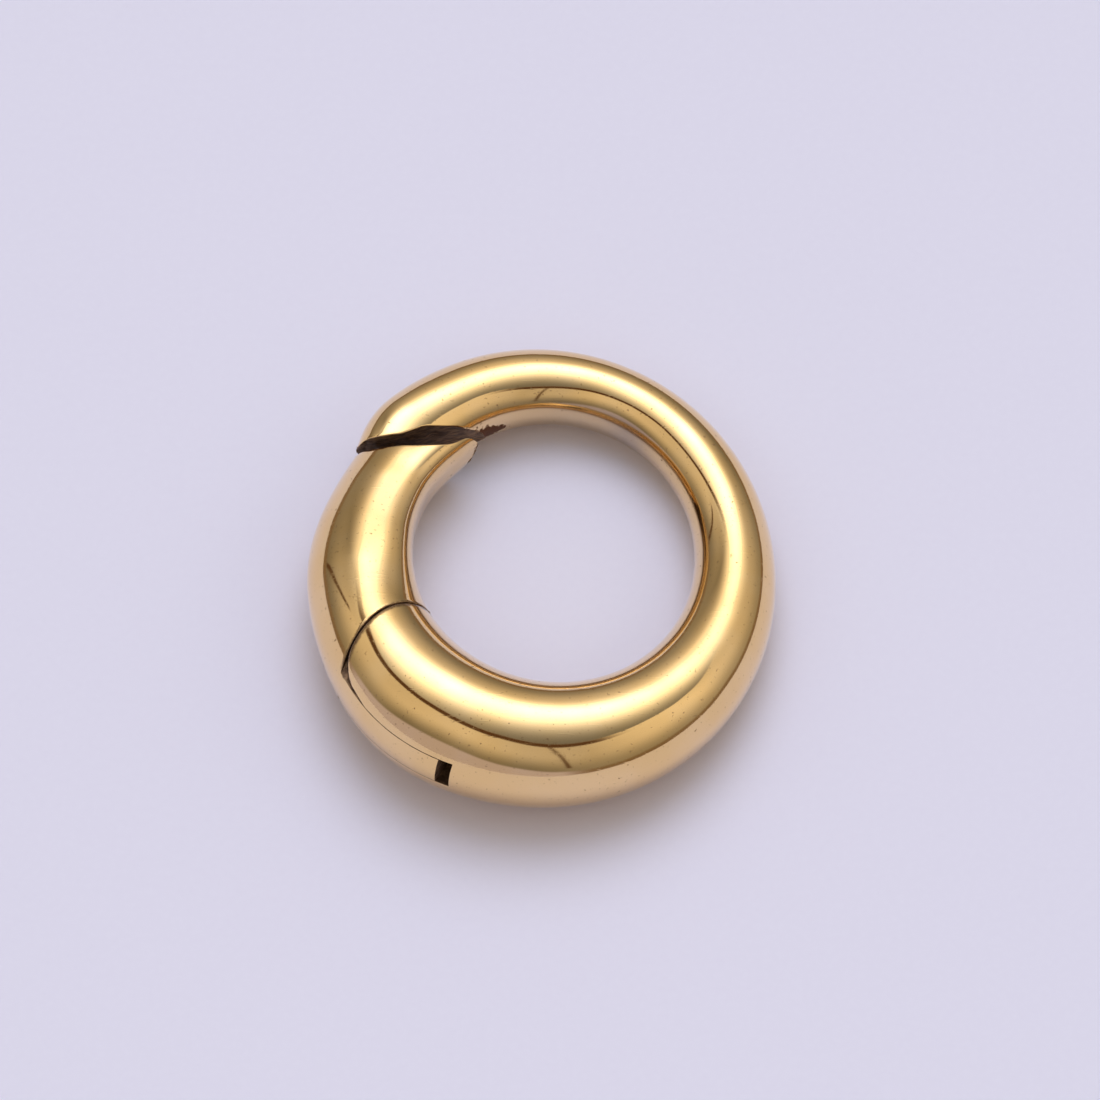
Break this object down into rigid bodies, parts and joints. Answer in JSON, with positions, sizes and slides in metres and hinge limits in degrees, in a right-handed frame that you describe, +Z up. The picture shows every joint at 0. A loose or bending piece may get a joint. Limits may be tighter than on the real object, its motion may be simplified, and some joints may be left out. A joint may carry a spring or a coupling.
{
  "type": "spring gate ring",
  "caption": "Oval ring of graduated round bar with a spring-closed gate that swings inwards on a hidden pin, to join a chain, cord or charm.",
  "frame": {"origin": "on the surface that the ring lies on, under the centre of the ring's bounding box", "axes": "+Z up out of the ring's plane, +Y along its longer side, away from the hinge's end, and +X away from the gate, which is on the -X side"},
  "size_m": [0.015, 0.0168, 0.0043],
  "materials": {
    "polished_gold": "gold-coloured plating on brass, polished by barrel, with soft waves, fine scratches and brown tarnish in the joints",
    "steel_pin": "drawn wire, cut flat"
  },
  "bodies": {
    "ring": {"ring_body": "polished_gold", "hinge_pin": "steel_pin"},
    "gate": {"gate": "polished_gold"}
  },
  "joints": [
    {"name": "gate_hinge", "type": "hinge", "parent": "ring", "child": "gate", "pos_m": [-0.00291, -0.00554, 0.00237], "axis": [-0.0476, -0.0576, -0.9972], "range_deg": [0, 25], "stiffness_Nm_per_rad": 0.02}
  ]
}
